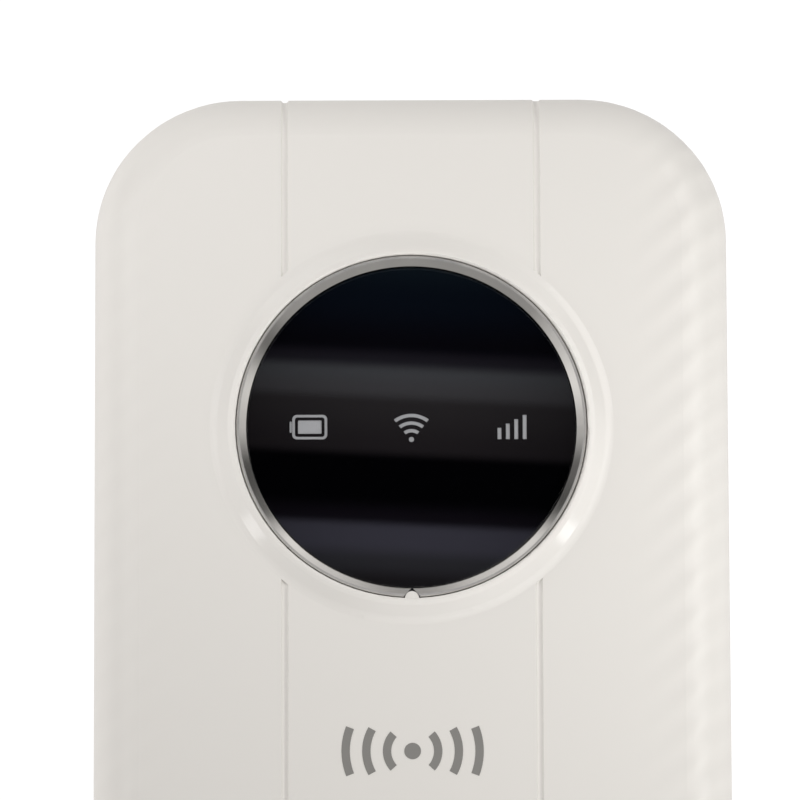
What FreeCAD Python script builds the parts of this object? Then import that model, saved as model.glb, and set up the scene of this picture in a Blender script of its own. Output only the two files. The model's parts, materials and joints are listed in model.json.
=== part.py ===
import FreeCAD, Part
import math
import os
import re

import Sketcher
from FreeCAD import Placement, Rotation, Vector

# A pocket-size mobile hotspot lying on its back.  Millimetres.
# +Z out of the display face, +Y towards the top end, +X to the right.
# The origin is the middle of the flat back face that it rests on.

SIZES = {
    # general: joins between features, cuts and clearances
    "weld": 0.2,
    "overshoot": 1.0,
    "through": 10.0,
    "stack_gap": 0.01,
    "fit_gap": 0.05,
    "loose_gap": 0.15,
    "seam_gap": 0.12,
    # case: three moulded shells stacked on one rounded outline
    "body_width": 65.0,
    "body_length": 108.0,
    "corner_radius": 15.0,
    "face_level": 14.5,
    "front_split": 9.6,
    "back_split": 4.6,
    "front_edge": 4.7,
    "back_edge": 3.6,
    "front_skin": 1.3,
    "back_skin": 1.2,
    "scallop_x": -18.0,
    "scallop_radius": 6.0,
    "scallop_rise": 4.0,
    "scallop_depth": 0.7,
    # display, from the outside in
    "display_y": 18.37,
    "collar_outer": 20.7,
    "collar_inner": 18.0,
    "collar_rise": 0.8,
    "collar_lip": 0.25,
    "crest_radius": 1.3,
    "foot_radius": 2.0,
    "seat_level": 13.3,
    "seat_radius": 15.0,
    "seat_boss_radius": 19.6,
    "seat_boss_depth": 0.9,
    "ring_outer": 17.9,
    "ring_inner": 16.9,
    "ring_rim": 15.15,
    "ring_bevel": 0.07,
    "ring_flat": 0.23,
    "key_radius": 0.72,
    "key_level": 15.05,
    "key_gap": 1.03,
    "notch_reach": 0.1,
    "lens_radius": 16.86,
    "lens_top": 14.6,
    "lens_thickness": 0.9,
    "lens_chamfer": 0.12,
    "mask_radius": 16.76,
    "mask_thickness": 0.06,
    "diffuser_radius": 16.66,
    "diffuser_thickness": 0.12,
    "gasket_inset": 0.3,
    "film_thickness": 0.04,
    # status icons
    "battery_icon_x": -10.4,
    "battery_icon_y": 0.22,
    "battery_icon_width": 3.6,
    "battery_icon_height": 2.6,
    "battery_icon_corner": 0.5,
    "icon_line": 0.29,
    "icon_space": 0.3,
    "terminal_width": 0.22,
    "terminal_height": 1.2,
    "waves_y": -1.33,
    "wave_first": 1.14,
    "wave_step": 0.8,
    "wave_stroke": 0.38,
    "wave_dot": 0.27,
    "wave_dot_rise": 0.22,
    "bars_x": 9.0,
    "bars_base": -1.12,
    "bar_step": 0.86,
    "bar_width": 0.4,
    "bar_height": 1.2,
    "bar_growth": 0.45,
    # light path behind the icons
    "chamber_width": 6.0,
    "chamber_length": 6.4,
    "chamber_corner": 1.0,
    "box_skin": 1.0,
    "relief_y": 8.2,
    "relief_width": 16.0,
    "relief_length": 5.0,
    "led_length": 1.6,
    "led_width": 0.8,
    "led_height": 0.6,
    # lines and mark on the front
    "groove_x": 12.95,
    "groove_radius": 0.4,
    "groove_depth": 0.26,
    "mark_y": -15.4,
    "mark_thickness": 0.03,
    "mark_dot": 0.85,
    "mark_stroke": 0.85,
    "mark_first": 2.6,
    "mark_step": 2.1,
    # middle frame
    "frame_wall": 2.2,
    "skirt_inset": 1.5,
    "skirt_wall": 1.2,
    "skirt_edge": 2.3,
    "deck_bottom": 1.6,
    "deck_top": 2.8,
    "ledge_level": 5.4,
    "lip_height": 0.7,
    "rib_wall": 1.0,
    "bay_corner": 1.2,
    "standoff_radius": 1.6,
    "reset_hole_radius": 0.6,
    # posts and screws
    "post_x": 25.0,
    "post_y": 44.0,
    "post_radius": 2.6,
    "boss_radius": 2.2,
    "pilot_depth": 3.0,
    "screw_radius": 0.75,
    "screw_length": 5.2,
    "screw_head": 1.5,
    "screw_head_height": 1.0,
    "screw_head_level": 7.2,
    "drive_length": 1.5,
    "drive_width": 0.3,
    "drive_depth": 0.45,
    "board_screw_x": 19.0,
    "board_screw_low": -30.0,
    "board_screw_high": 1.0,
    "board_screw_radius": 0.58,
    "board_screw_length": 1.6,
    "board_screw_head": 1.2,
    "board_head_height": 0.6,
    "board_drive_length": 1.2,
    "board_drive_width": 0.25,
    "board_drive_depth": 0.3,
    # cover clips
    "clip_y": 30.0,
    "clip_length": 8.0,
    "clip_wall": 0.8,
    "clip_inset": 0.35,
    "clip_gap": 0.25,
    "clip_top_gap": 0.4,
    # battery, its bay and its sprung contacts
    "battery_width": 44.0,
    "battery_length": 62.0,
    "battery_depth": 5.2,
    "battery_y": -6.0,
    "battery_bottom": 1.75,
    "battery_gap": 0.35,
    "bay_roof": 7.2,
    "roof_top": 8.0,
    "cap_length": 4.8,
    "cap_round": 1.0,
    "cell_round": 1.4,
    "cell_inset": 0.1,
    "contact_x": 14.0,
    "contact_rise": 0.5,
    "contact_pitch": 2.5,
    "pad_width": 1.5,
    "pad_height": 2.9,
    "pad_thickness": 0.15,
    "pad_recess": 0.4,
    "label_margin": 2.5,
    "label_length": 50.0,
    "label_thickness": 0.08,
    "label_corner": 1.0,
    "holder_bottom": 3.3,
    "holder_width": 9.0,
    "holder_length": 4.0,
    "pin_radius": 0.4,
    "pin_length": 3.0,
    "pin_reach": 0.18,
    # main board and shielding cans
    "board_inset": 3.4,
    "board_bottom": 8.4,
    "board_thickness": 0.8,
    "board_gap": 0.4,
    "can_wall": 0.2,
    "can_corner": 0.6,
    "can_edge": 0.3,
    "modem_can_height": 1.7,
    "wifi_can_height": 1.5,
    "capacitor_x": -14.0,
    "capacitor_y": -36.0,
    "capacitor_step": 2.2,
    "capacitor_row": 2.0,
    "capacitor_length": 1.0,
    "capacitor_width": 0.5,
    "inductor_x": -15.0,
    "inductor_y": -42.5,
    "inductor_step": 4.5,
    "inductor_size": 3.0,
    "inductor_height": 1.2,
    # charging socket
    "usb_width": 8.94,
    "usb_height": 3.16,
    "usb_length": 7.3,
    "usb_level": 6.8,
    "usb_mouth": -53.3,
    "usb_wall": 0.3,
    "tongue_base": 1.4,
    "tongue_width": 6.7,
    "tongue_thickness": 0.7,
    "tongue_setback": 0.9,
    "usb_pitch": 0.5,
    "usb_contact_width": 0.26,
    "usb_contact_length": 3.6,
    "usb_contact_thickness": 0.05,
    "usb_contact_setback": 3.1,
    # card, its socket and its bay
    "card_x": -10.0,
    "card_y": 37.3,
    "card_length": 15.0,
    "card_width": 12.0,
    "card_thickness": 0.76,
    "card_notch": 2.5,
    "card_bottom": 7.2,
    "card_bay_x": -1.75,
    "card_bay_width": 34.5,
    "card_bay_length": 14.6,
    "chip_length": 11.0,
    "chip_width": 8.4,
    "chip_depth": 0.08,
    "chip_corner": 1.0,
    "socket_shift": 0.5,
    "socket_corner": 0.5,
    "base_margin_x": 0.8,
    "base_margin_y": 1.0,
    "tray_margin_x": 0.7,
    "tray_margin_y": 0.5,
    "tray_floor": 0.2,
    "tray_gap": 0.07,
    "tray_window_length": 9.0,
    "tray_window_width": 7.0,
    "sim_contact_x": 3.8,
    "sim_contact_pitch": 2.54,
    "sim_contact_length": 2.0,
    "sim_contact_width": 1.2,
    "sim_contact_thickness": 0.06,
    # keys and their switches
    "power_x": 14.0,
    "power_level": 7.3,
    "power_width": 8.0,
    "power_height": 2.6,
    "power_proud": 0.4,
    "crown_round": 0.3,
    "flange_gap": 0.1,
    "flange_thickness": 0.6,
    "flange_reach": 0.7,
    "flange_rise": 0.3,
    "switch_setback": 1.6,
    "switch_width": 4.4,
    "switch_height": 2.2,
    "switch_depth": 3.0,
    "plunger_width": 1.9,
    "plunger_height": 1.1,
    "plunger_length": 1.5,
    "plunger_bore": 1.3,
    "reset_x": 21.5,
    "reset_y": 34.0,
    "reset_size": 3.2,
    "reset_corner": 0.3,
    "reset_height": 1.4,
    "reset_bore": 0.7,
    "reset_tip_radius": 0.8,
    "reset_tip_length": 0.75,
    "reset_tip_proud": 0.35,
    # aerials and cooling
    "aerial_thickness": 0.15,
    "aerial_corner": 0.8,
    "aerial_slot": 0.8,
    "aerial_slot_shift": 4.0,
    "aerial_slot_rise": 1.0,
    "spring_length": 1.6,
    "spring_width": 1.2,
    "modem_x": -5.0,
    "modem_y": -18.0,
    "pad_x_size": 16.0,
    "pad_y_size": 14.0,
    "pad_corner": 0.8,
    "spreader_x": -3.0,
    "spreader_width": 38.0,
    "spreader_length": 30.0,
    "spreader_thickness": 0.2,
    "spreader_corner": 2.0,
}

# the upper face of the main board, where most packages stand
BOARD_TOP = "board_bottom + board_thickness"

# packages on the board: name, x, y, width, length, height, corner radius
CHIPS = (
    ("modem_chip", "-8", "-18", "12", "12", "1.05", "0.2"),
    ("memory_chip", "1.5", "-18", "6", "9", "0.9", "0.2"),
    ("wifi_chip", "18", "-16", "7", "7", "0.85", "0.2"),
    ("power_chip", "-20", "-37.5", "5", "5", "0.9", "0.2"),
    ("crystal", "12", "-36", "3.2", "2.5", "0.7", "0.4"),
)

# aerials under the front cover's skin: name, x, y, width, length
AERIALS = (
    ("wifi_antenna", "0", "44.3", "30", "6"),
    ("main_antenna", "0", "-43.5", "36", "6.5"),
    ("diversity_antenna", "24", "-18", "4", "30"),
)

# where the board's springs feed the aerials: x, y
FEEDS = (("-13", "46.2"), ("13", "46.2"), ("-16", "-45.6"), ("16", "-45.6"), ("24", "-30.5"))

# half the opening angle of the fan of waves, and of the mark's bands from the inside out, in degrees
WAVE_HALF_ANGLE = 38
MARK_HALF_ANGLES = (42, 29, 21)

# lengths and volumes closer than this count as equal
TOLERANCE = 1e-4

doc = FreeCAD.newDocument("mobile_hotspot")
sheet = doc.addObject("Spreadsheet::Sheet", "sizes")
for row, (alias, size) in enumerate(SIZES.items(), start=1):
    sheet.set(f"A{row}", alias)
    sheet.set(f"B{row}", str(size))
    sheet.setAlias(f"B{row}", alias)
doc.recompute()

sub_parts = []


# ---------------------------------------------------------------- helpers

def sheet_form(text):
    """Write the sheet's name before each alias in an expression."""
    def full_name(match):
        word = match.group()
        return f"sizes.{word}" if word in SIZES else word
    return re.sub(r"[a-z][a-z_]*", full_name, str(text))


def number(text):
    return float(sheet.evalExpression(sheet_form(text)))


def bind(target, attribute, text):
    target.setExpression(attribute, sheet_form(text))


def place(target, x="0", y="0", z="0"):
    for axis, text in (("x", x), ("y", y), ("z", z)):
        bind(target, f"Placement.Base.{axis}", text)


def new_body(label, x="0", y="0", z="0"):
    body = doc.addObject("PartDesign::Body", label)
    body.Label = label
    body.AllowCompound = True
    place(body, x, y, z)
    sub_parts.append(body)
    return body


class Drawing:
    """A sketch on an origin plane of its body, with its sizes bound to the sheet."""

    def __init__(self, body, name, plane="XY_Plane", level="0", shift="0"):
        self.body = body
        self.name = f"{body.Label}_{name}"
        self.sketch = body.newObject("Sketcher::SketchObject", self.name)
        origin_plane = next(item for item in body.Origin.OriginFeatures if item.Role == plane)
        self.sketch.AttachmentSupport = [(origin_plane, "")]
        self.sketch.MapMode = "FlatFace"
        bind(self.sketch, "AttachmentOffset.Base.z", level)
        bind(self.sketch, "AttachmentOffset.Base.x", shift)

    def add(self, shapes):
        return list(self.sketch.addGeometry(shapes, False))

    def rule(self, *terms):
        return self.sketch.addConstraint(Sketcher.Constraint(*terms))

    def size(self, kind, *terms, text):
        index = self.rule(kind, *terms, number(text))
        bind(self.sketch, f"Constraints[{index}]", text)

    def pin(self, geometry, point, x, y):
        """Hold a point at x, y from the sketch's origin."""
        self.size("DistanceX", -1, 1, geometry, point, text=x)
        self.size("DistanceY", -1, 1, geometry, point, text=y)

    def circle(self, x, y, radius):
        centre = Vector(number(x), number(y), 0)
        ring, = self.add([Part.Circle(centre, Vector(0, 0, 1), number(radius))])
        self.pin(ring, 3, x, y)
        self.size("Radius", ring, text=radius)
        return self

    def polygon(self, corners):
        points = [Vector(number(x), number(y), 0) for x, y in corners]
        count = len(points)
        lines = self.add([Part.LineSegment(points[i], points[(i + 1) % count]) for i in range(count)])
        for i, line in enumerate(lines):
            self.rule("Coincident", line, 2, lines[(i + 1) % count], 1)
            self.pin(line, 1, *corners[i])
        return self

    def rectangle(self, x, y, width, length):
        left, right = f"({x}) - ({width}) / 2", f"({x}) + ({width}) / 2"
        low, high = f"({y}) - ({length}) / 2", f"({y}) + ({length}) / 2"
        return self.polygon([(left, low), (right, low), (right, high), (left, high)])

    def rounded(self, x, y, width, length, radius):
        """A rectangle whose corners are tangent arcs."""
        r = number(radius)
        x0 = number(x) - number(width) / 2
        x1 = number(x) + number(width) / 2
        y0 = number(y) - number(length) / 2
        y1 = number(y) + number(length) / 2

        def line(a, b):
            return Part.LineSegment(Vector(*a, 0), Vector(*b, 0))

        def arc(cx, cy, quarter):
            circle = Part.Circle(Vector(cx, cy, 0), Vector(0, 0, 1), r)
            return Part.ArcOfCircle(circle, (quarter - 1) * math.pi / 2, quarter * math.pi / 2)

        edge = self.add([
            line((x0 + r, y0), (x1 - r, y0)), arc(x1 - r, y0 + r, 0),
            line((x1, y0 + r), (x1, y1 - r)), arc(x1 - r, y1 - r, 1),
            line((x1 - r, y1), (x0 + r, y1)), arc(x0 + r, y1 - r, 2),
            line((x0, y1 - r), (x0, y0 + r)), arc(x0 + r, y0 + r, 3)])
        for i in range(8):
            self.rule("Tangent", edge[i], 2, edge[(i + 1) % 8], 1)
        for i, side in ((0, "Horizontal"), (2, "Vertical"), (4, "Horizontal"), (6, "Vertical")):
            self.rule(side, edge[i])
        for i in (3, 5, 7):
            self.rule("Equal", edge[1], edge[i])
        self.size("Radius", edge[1], text=radius)
        self.size("DistanceX", -1, 1, edge[2], 1, text=f"({x}) + ({width}) / 2")
        self.size("DistanceX", edge[6], 2, edge[2], 1, text=width)
        self.size("DistanceY", -1, 1, edge[4], 1, text=f"({y}) + ({length}) / 2")
        self.size("DistanceY", edge[0], 1, edge[4], 1, text=length)
        return self

    def slot(self, x, y, width, height):
        """A stadium lying along the sketch's X."""
        r = number(height) / 2
        half = number(width) / 2 - r
        cx, cy = number(x), number(y)
        right = Part.Circle(Vector(cx + half, cy, 0), Vector(0, 0, 1), r)
        left = Part.Circle(Vector(cx - half, cy, 0), Vector(0, 0, 1), r)
        edge = self.add([
            Part.LineSegment(Vector(cx - half, cy - r, 0), Vector(cx + half, cy - r, 0)),
            Part.ArcOfCircle(right, -math.pi / 2, math.pi / 2),
            Part.LineSegment(Vector(cx + half, cy + r, 0), Vector(cx - half, cy + r, 0)),
            Part.ArcOfCircle(left, math.pi / 2, 1.5 * math.pi)])
        for i in range(4):
            self.rule("Tangent", edge[i], 2, edge[(i + 1) % 4], 1)
        self.rule("Horizontal", edge[0])
        self.size("Radius", edge[1], text=f"({height}) / 2")
        self.pin(edge[1], 3, f"({x}) + ({width}) / 2 - ({height}) / 2", y)
        self.size("DistanceX", edge[3], 3, edge[1], 3, text=f"({width}) - ({height})")
        return self

    def cross(self, x, y, length, width):
        """A screw's drive: one bar across, and half a bar above and below it."""
        self.rectangle(x, y, length, width)
        for side in (-1, 1):
            self.rectangle(x, f"({y}) + {side} * (({length}) + ({width})) / 4", width,
                           f"(({length}) - ({width})) / 2")
        return self

    def band(self, x, y, radius, stroke, middle, half_angle):
        """An arc-shaped stroke: centre x, y; middle and half_angle in degrees."""
        cx, cy = number(x), number(y)
        inner = number(radius) - number(stroke) / 2
        outer = number(radius) + number(stroke) / 2
        start = math.radians(middle - half_angle)
        end = math.radians(middle + half_angle)

        def at(r, angle):
            return Vector(cx + r * math.cos(angle), cy + r * math.sin(angle), 0)

        centre = Vector(cx, cy, 0)
        edge = self.add([
            Part.ArcOfCircle(Part.Circle(centre, Vector(0, 0, 1), outer), start, end),
            Part.LineSegment(at(outer, end), at(inner, end)),
            Part.ArcOfCircle(Part.Circle(centre, Vector(0, 0, 1), inner), start, end),
            Part.LineSegment(at(inner, start), at(outer, start))])
        self.rule("Coincident", edge[0], 2, edge[1], 1)
        self.rule("Coincident", edge[1], 2, edge[2], 2)
        self.rule("Coincident", edge[2], 1, edge[3], 1)
        self.rule("Coincident", edge[3], 2, edge[0], 1)
        self.rule("Coincident", edge[0], 3, edge[2], 3)
        self.pin(edge[0], 3, x, y)
        self.size("Radius", edge[0], text=f"({radius}) + ({stroke}) / 2")
        self.size("Radius", edge[2], text=f"({radius}) - ({stroke}) / 2")
        return self


def outline(drawing, inset="0"):
    """The case's rounded outline, drawn in by an inset."""
    return drawing.rounded("0", "0", f"body_width - 2 * ({inset})", f"body_length - 2 * ({inset})",
                           f"corner_radius - ({inset})")


def pad(drawing, length, downward=False):
    feature = drawing.body.newObject("PartDesign::Pad", f"{drawing.name}_pad")
    feature.Profile = drawing.sketch
    bind(feature, "Length", length)
    feature.Reversed = downward
    doc.recompute()
    return feature


def pocket(drawing, depth, upward=False):
    """Cut along the sketch's normal (upward) or against it, and make sure it cuts."""
    before = drawing.body.Shape.Volume
    feature = drawing.body.newObject("PartDesign::Pocket", f"{drawing.name}_pocket")
    feature.Profile = drawing.sketch
    bind(feature, "Length", depth)
    feature.Reversed = upward
    doc.recompute()
    if drawing.body.Shape.Volume > before - TOLERANCE:
        raise ValueError(f"{feature.Label} cuts nothing")
    return feature


def revolve(drawing):
    feature = drawing.body.newObject("PartDesign::Revolution", f"{drawing.name}_turn")
    feature.Profile = drawing.sketch
    feature.ReferenceAxis = (drawing.sketch, ["V_Axis"])
    feature.Angle = 360
    doc.recompute()
    return feature


def round_edges(body, name, radius, chosen, kind="Fillet"):
    """Fillet or chamfer each edge that passes the test."""
    base = body.Tip
    names = [f"Edge{index}" for index, edge in enumerate(base.Shape.Edges, start=1) if chosen(edge)]
    if not names:
        raise ValueError(f"{body.Label} {name}: no edge found")
    feature = body.newObject(f"PartDesign::{kind}", f"{body.Label}_{name}")
    feature.Base = (base, names)
    bind(feature, "Radius" if kind == "Fillet" else "Size", radius)
    doc.recompute()
    return feature


def level_edges(level):
    """Edges that lie flat at one height."""
    height = number(level)
    return lambda edge: max(abs(edge.BoundBox.ZMin - height), abs(edge.BoundBox.ZMax - height)) < TOLERANCE


def plate(label, x, y, z, width, length, height, radius="0.5"):
    """A flat piece with rounded corners; z is its lower face."""
    body = new_body(label, x, y, z)
    pad(Drawing(body, "outline").rounded("0", "0", width, length, radius), height)
    return body


def block(label, x, y, z, width, length, height):
    """A plain box centred on x, y that stands on z."""
    item = doc.addObject("Part::Box", label)
    item.Label = label
    bind(item, "Length", width)
    bind(item, "Width", length)
    bind(item, "Height", height)
    place(item, f"({x}) - ({width}) / 2", f"({y}) - ({length}) / 2", z)
    return item


def group(label, members):
    """Loose identical solids that share one node."""
    item = doc.addObject("Part::Compound", label)
    item.Label = label
    item.Links = members
    sub_parts.append(item)
    return item


def post_places():
    return [(f"{sx} * post_x", f"{sy} * post_y") for sx in (-1, 1) for sy in (-1, 1)]


# ---------------------------------------------------------------- case

def front_cover():
    """Display-side shell with a raised collar, two lengthwise grooves and four screw bosses."""
    body = new_body("front_cover")
    pad(outline(Drawing(body, "outline", level="front_split")), "face_level - front_split")
    pocket(outline(Drawing(body, "inside", level="front_split"), "front_skin"),
           "face_level - front_skin - front_split", upward=True)
    # the inner corner is rounded first, or it would break through the outer round
    round_edges(body, "inner_edge", "front_edge - front_skin", level_edges("face_level - front_skin"))
    round_edges(body, "edge", "front_edge", level_edges("face_level"))
    bosses = Drawing(body, "bosses", level="front_split")
    for x, y in post_places():
        bosses.circle(x, y, "boss_radius")
    pad(bosses, "face_level - front_skin - front_split + weld")
    for side in (-1, 1):
        lengthwise_groove(body, side)
    pad(Drawing(body, "seat_boss", level="face_level - front_skin + weld")
        .circle("0", "display_y", "seat_boss_radius"), "seat_boss_depth + weld", downward=True)
    collar(body)
    above = "face_level + collar_rise + overshoot"
    pocket(Drawing(body, "seat", level=above).circle("0", "display_y", "collar_inner"),
           f"{above} - seat_level")
    pocket(Drawing(body, "window", level="seat_level + overshoot")
           .circle("0", "display_y", "seat_radius"), "through")
    # a half-round key that stops the trim ring from turning
    pad(Drawing(body, "key", level="seat_level")
        .circle("0", "display_y - collar_inner", "key_radius"), "key_level - seat_level")
    pilots = Drawing(body, "pilots", level="front_split")
    for x, y in post_places():
        pilots.circle(x, y, "screw_radius + fit_gap")
    pocket(pilots, "pilot_depth", upward=True)
    return body


def lengthwise_groove(body, side):
    """A shallow rounded line over both ends and along the face, cut by a round tool."""
    x = f"{side} * groove_x"
    proud = "(groove_radius - groove_depth)"
    start = "front_split - overshoot"
    turn = "face_level - front_edge"
    bend_radius = f"front_edge + {proud}"
    end_face = f"body_length / 2 + {proud}"
    path = Drawing(body, f"path_{side + 2}", plane="YZ_Plane", level=x)
    outer, top = number(end_face), number(f"face_level + {proud}")
    low, high, r = number(start), number(turn), number(bend_radius)

    def bend(y, first):
        circle = Part.Circle(Vector(y, high, 0), Vector(0, 0, 1), r)
        return Part.ArcOfCircle(circle, first, first + math.pi / 2)

    edge = path.add([
        Part.LineSegment(Vector(-outer, low, 0), Vector(-outer, high, 0)),
        bend(-outer + r, math.pi / 2),
        Part.LineSegment(Vector(-outer + r, top, 0), Vector(outer - r, top, 0)),
        bend(outer - r, 0),
        Part.LineSegment(Vector(outer, high, 0), Vector(outer, low, 0))])
    for a, a_end, b, b_end in ((0, 2, 1, 2), (1, 1, 2, 1), (2, 2, 3, 2), (3, 1, 4, 1)):
        path.rule("Tangent", edge[a], a_end, edge[b], b_end)
    path.rule("Vertical", edge[0])
    path.rule("Horizontal", edge[2])
    path.rule("Vertical", edge[4])
    path.size("Radius", edge[1], text=bend_radius)
    path.size("Radius", edge[3], text=bend_radius)
    path.pin(edge[0], 1, f"-({end_face})", start)
    path.pin(edge[4], 2, end_face, start)
    path.size("DistanceY", -1, 1, edge[2], 1, text=f"face_level + {proud}")
    section = Drawing(body, f"section_{side + 2}", level=start)
    section.circle(x, f"-({end_face})", "groove_radius")
    doc.recompute()
    before = body.Shape.Volume
    feature = body.newObject("PartDesign::SubtractivePipe", f"{body.Label}_groove_{side + 2}")
    feature.Profile = section.sketch
    feature.Spine = (path.sketch, [f"Edge{i}" for i in range(1, 6)])
    doc.recompute()
    if body.Shape.Volume > before - TOLERANCE:
        raise ValueError(f"{feature.Label} cuts nothing")


def collar(body):
    """Raised ring around the display: inner lip, round crest, sloping flank and hollow foot."""
    profile = Drawing(body, "collar", plane="YZ_Plane", shift="display_y")
    crest_at = "collar_inner + collar_lip"
    crest_level = "face_level + collar_rise"
    root = "seat_level + weld"
    inner, outer, lip = number("collar_inner"), number("collar_outer"), number("collar_lip")
    crest, foot = number("crest_radius"), number("foot_radius")
    top, face, base = number(crest_level), number("face_level"), number(root)
    # slope of the line that touches the crest's round from outside and the foot's round from inside
    run, both = outer - inner - lip, crest + foot
    drop = both - (top - face)
    slope = math.asin(both / math.hypot(run, drop)) - math.atan2(drop, run)
    away = Vector(math.sin(slope), math.cos(slope), 0)
    crest_centre = Vector(inner + lip, top - crest, 0)
    foot_centre = Vector(outer, face + foot, 0)
    up = Vector(0, 0, 1)
    edge = profile.add([
        Part.LineSegment(Vector(inner, base, 0), Vector(inner, top - lip, 0)),
        Part.ArcOfCircle(Part.Circle(Vector(inner + lip, top - lip, 0), up, lip), math.pi / 2, math.pi),
        Part.ArcOfCircle(Part.Circle(crest_centre, up, crest), math.pi / 2 - slope, math.pi / 2),
        Part.LineSegment(crest_centre + away * crest, foot_centre - away * foot),
        Part.ArcOfCircle(Part.Circle(foot_centre, up, foot), 1.5 * math.pi - slope, 1.5 * math.pi),
        Part.LineSegment(Vector(outer, face, 0), Vector(outer, base, 0)),
        Part.LineSegment(Vector(outer, base, 0), Vector(inner, base, 0))])
    profile.rule("Tangent", edge[0], 2, edge[1], 2)
    profile.rule("Tangent", edge[1], 1, edge[2], 2)
    profile.rule("Tangent", edge[2], 1, edge[3], 1)
    profile.rule("Tangent", edge[3], 2, edge[4], 1)
    profile.rule("Coincident", edge[4], 2, edge[5], 1)
    profile.rule("Coincident", edge[5], 2, edge[6], 1)
    profile.rule("Coincident", edge[6], 2, edge[0], 1)
    profile.pin(edge[0], 1, "collar_inner", root)
    profile.pin(edge[1], 1, crest_at, crest_level)
    profile.pin(edge[5], 1, "collar_outer", "face_level")
    profile.pin(edge[5], 2, "collar_outer", root)
    profile.size("Radius", edge[1], text="collar_lip")
    profile.size("Radius", edge[2], text="crest_radius")
    profile.size("Radius", edge[4], text="foot_radius")
    profile.size("DistanceX", -1, 1, edge[4], 3, text="collar_outer")
    revolve(profile)


def middle_frame():
    """Structural frame: the visible side band, the battery bay, the card bay and the screw posts."""
    body = new_body("middle_frame")
    pad(outline(Drawing(body, "band", level="back_split + seam_gap")),
        "front_split - back_split - 2 * seam_gap")
    pad(outline(Drawing(body, "skirt", level="deck_bottom"), "skirt_inset"),
        "back_split + overshoot - deck_bottom")
    round_edges(body, "skirt_edge", "skirt_edge", level_edges("deck_bottom"))
    pocket(outline(Drawing(body, "hollow", level="ledge_level"), "frame_wall"), "through",
           upward=True)
    pocket(outline(Drawing(body, "lower_hollow", level="deck_top"), "skirt_inset + skirt_wall"),
           "through", upward=True)
    lip = Drawing(body, "lip", level="front_split - overshoot")
    outline(lip, "front_skin + loose_gap")
    outline(lip, "frame_wall")
    pad(lip, "lip_height + overshoot")
    battery_bay(body)
    card_bay(body)
    posts = Drawing(body, "posts", level="deck_bottom")
    for x, y in post_places():
        posts.circle(x, y, "post_radius")
    pad(posts, "front_split - seam_gap - deck_bottom")
    heads = Drawing(body, "heads", level="deck_bottom")
    shanks = Drawing(body, "shanks", level="deck_bottom")
    for x, y in post_places():
        heads.circle(x, y, "screw_head + loose_gap")
        shanks.circle(x, y, "screw_radius + loose_gap")
    pocket(heads, "screw_head_level - deck_bottom", upward=True)
    pocket(shanks, "through", upward=True)
    # end openings: charging socket at the bottom, power key at the top
    pocket(Drawing(body, "socket_opening", plane="XZ_Plane", level="body_length / 2 + overshoot")
           .slot("0", "usb_level", "usb_width + 2 * loose_gap", "usb_height + 2 * loose_gap"),
           "overshoot + skirt_inset + skirt_wall + weld")
    pocket(Drawing(body, "key_opening", plane="XZ_Plane", level="-body_length / 2 - overshoot")
           .slot("power_x", "power_level", "power_width + 2 * loose_gap", "power_height + 2 * loose_gap"),
           "overshoot + frame_wall + weld", upward=True)
    pocket(Drawing(body, "reset_hole", level="deck_bottom")
           .circle("reset_x", "reset_y", "reset_hole_radius"), "deck_top - deck_bottom", upward=True)
    clips = Drawing(body, "clip_slots", level="deck_bottom")
    reach = "clip_inset + clip_wall + clip_gap"
    for side_x in (-1, 1):
        for side_y in (-1, 1):
            clips.rectangle(f"{side_x} * (body_width / 2 - skirt_inset - ({reach} - weld) / 2)",
                            f"{side_y} * clip_y", f"{reach} + weld", "clip_length + 2 * clip_gap")
    pocket(clips, "back_split - seam_gap - deck_bottom", upward=True)
    return body


def battery_bay(body):
    width = "battery_width + 2 * battery_gap"
    length = "battery_length + 2 * battery_gap"
    pad(Drawing(body, "bay_walls", level="deck_bottom")
        .rectangle("0", "battery_y", f"{width} + 2 * rib_wall", f"{length} + 2 * rib_wall"),
        "roof_top - deck_bottom")
    pocket(Drawing(body, "bay", level="deck_bottom")
           .rounded("0", "battery_y", width, length, "bay_corner"), "bay_roof - deck_bottom", upward=True)
    pocket(Drawing(body, "contact_window", level="deck_top + weld")
           .rectangle("contact_x", "battery_y - battery_length / 2 - battery_gap - rib_wall / 2",
                      "4 * contact_pitch", "rib_wall + 2 * weld"), "through", upward=True)
    pads = Drawing(body, "standoffs", level="roof_top - weld")
    holes = Drawing(body, "standoff_holes", level=f"{BOARD_TOP} - board_screw_length - fit_gap")
    for x, y in board_screw_places():
        pads.circle(x, y, "standoff_radius")
        holes.circle(x, y, "board_screw_radius + fit_gap")
    pad(pads, "board_bottom - roof_top + weld")
    pocket(holes, "through", upward=True)


def board_screw_places():
    return [("-board_screw_x", "board_screw_low"), ("board_screw_x", "board_screw_low"),
            ("-board_screw_x", "board_screw_high")]


def card_bay(body):
    pad(Drawing(body, "card_walls", level="deck_bottom")
        .rectangle("card_bay_x", "card_y", "card_bay_width + 2 * rib_wall",
                   "card_bay_length + 2 * rib_wall"), "roof_top - deck_bottom")
    pocket(Drawing(body, "card_opening", level="deck_bottom")
           .rounded("card_bay_x", "card_y", "card_bay_width", "card_bay_length", "bay_corner"),
           "through", upward=True)


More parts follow.
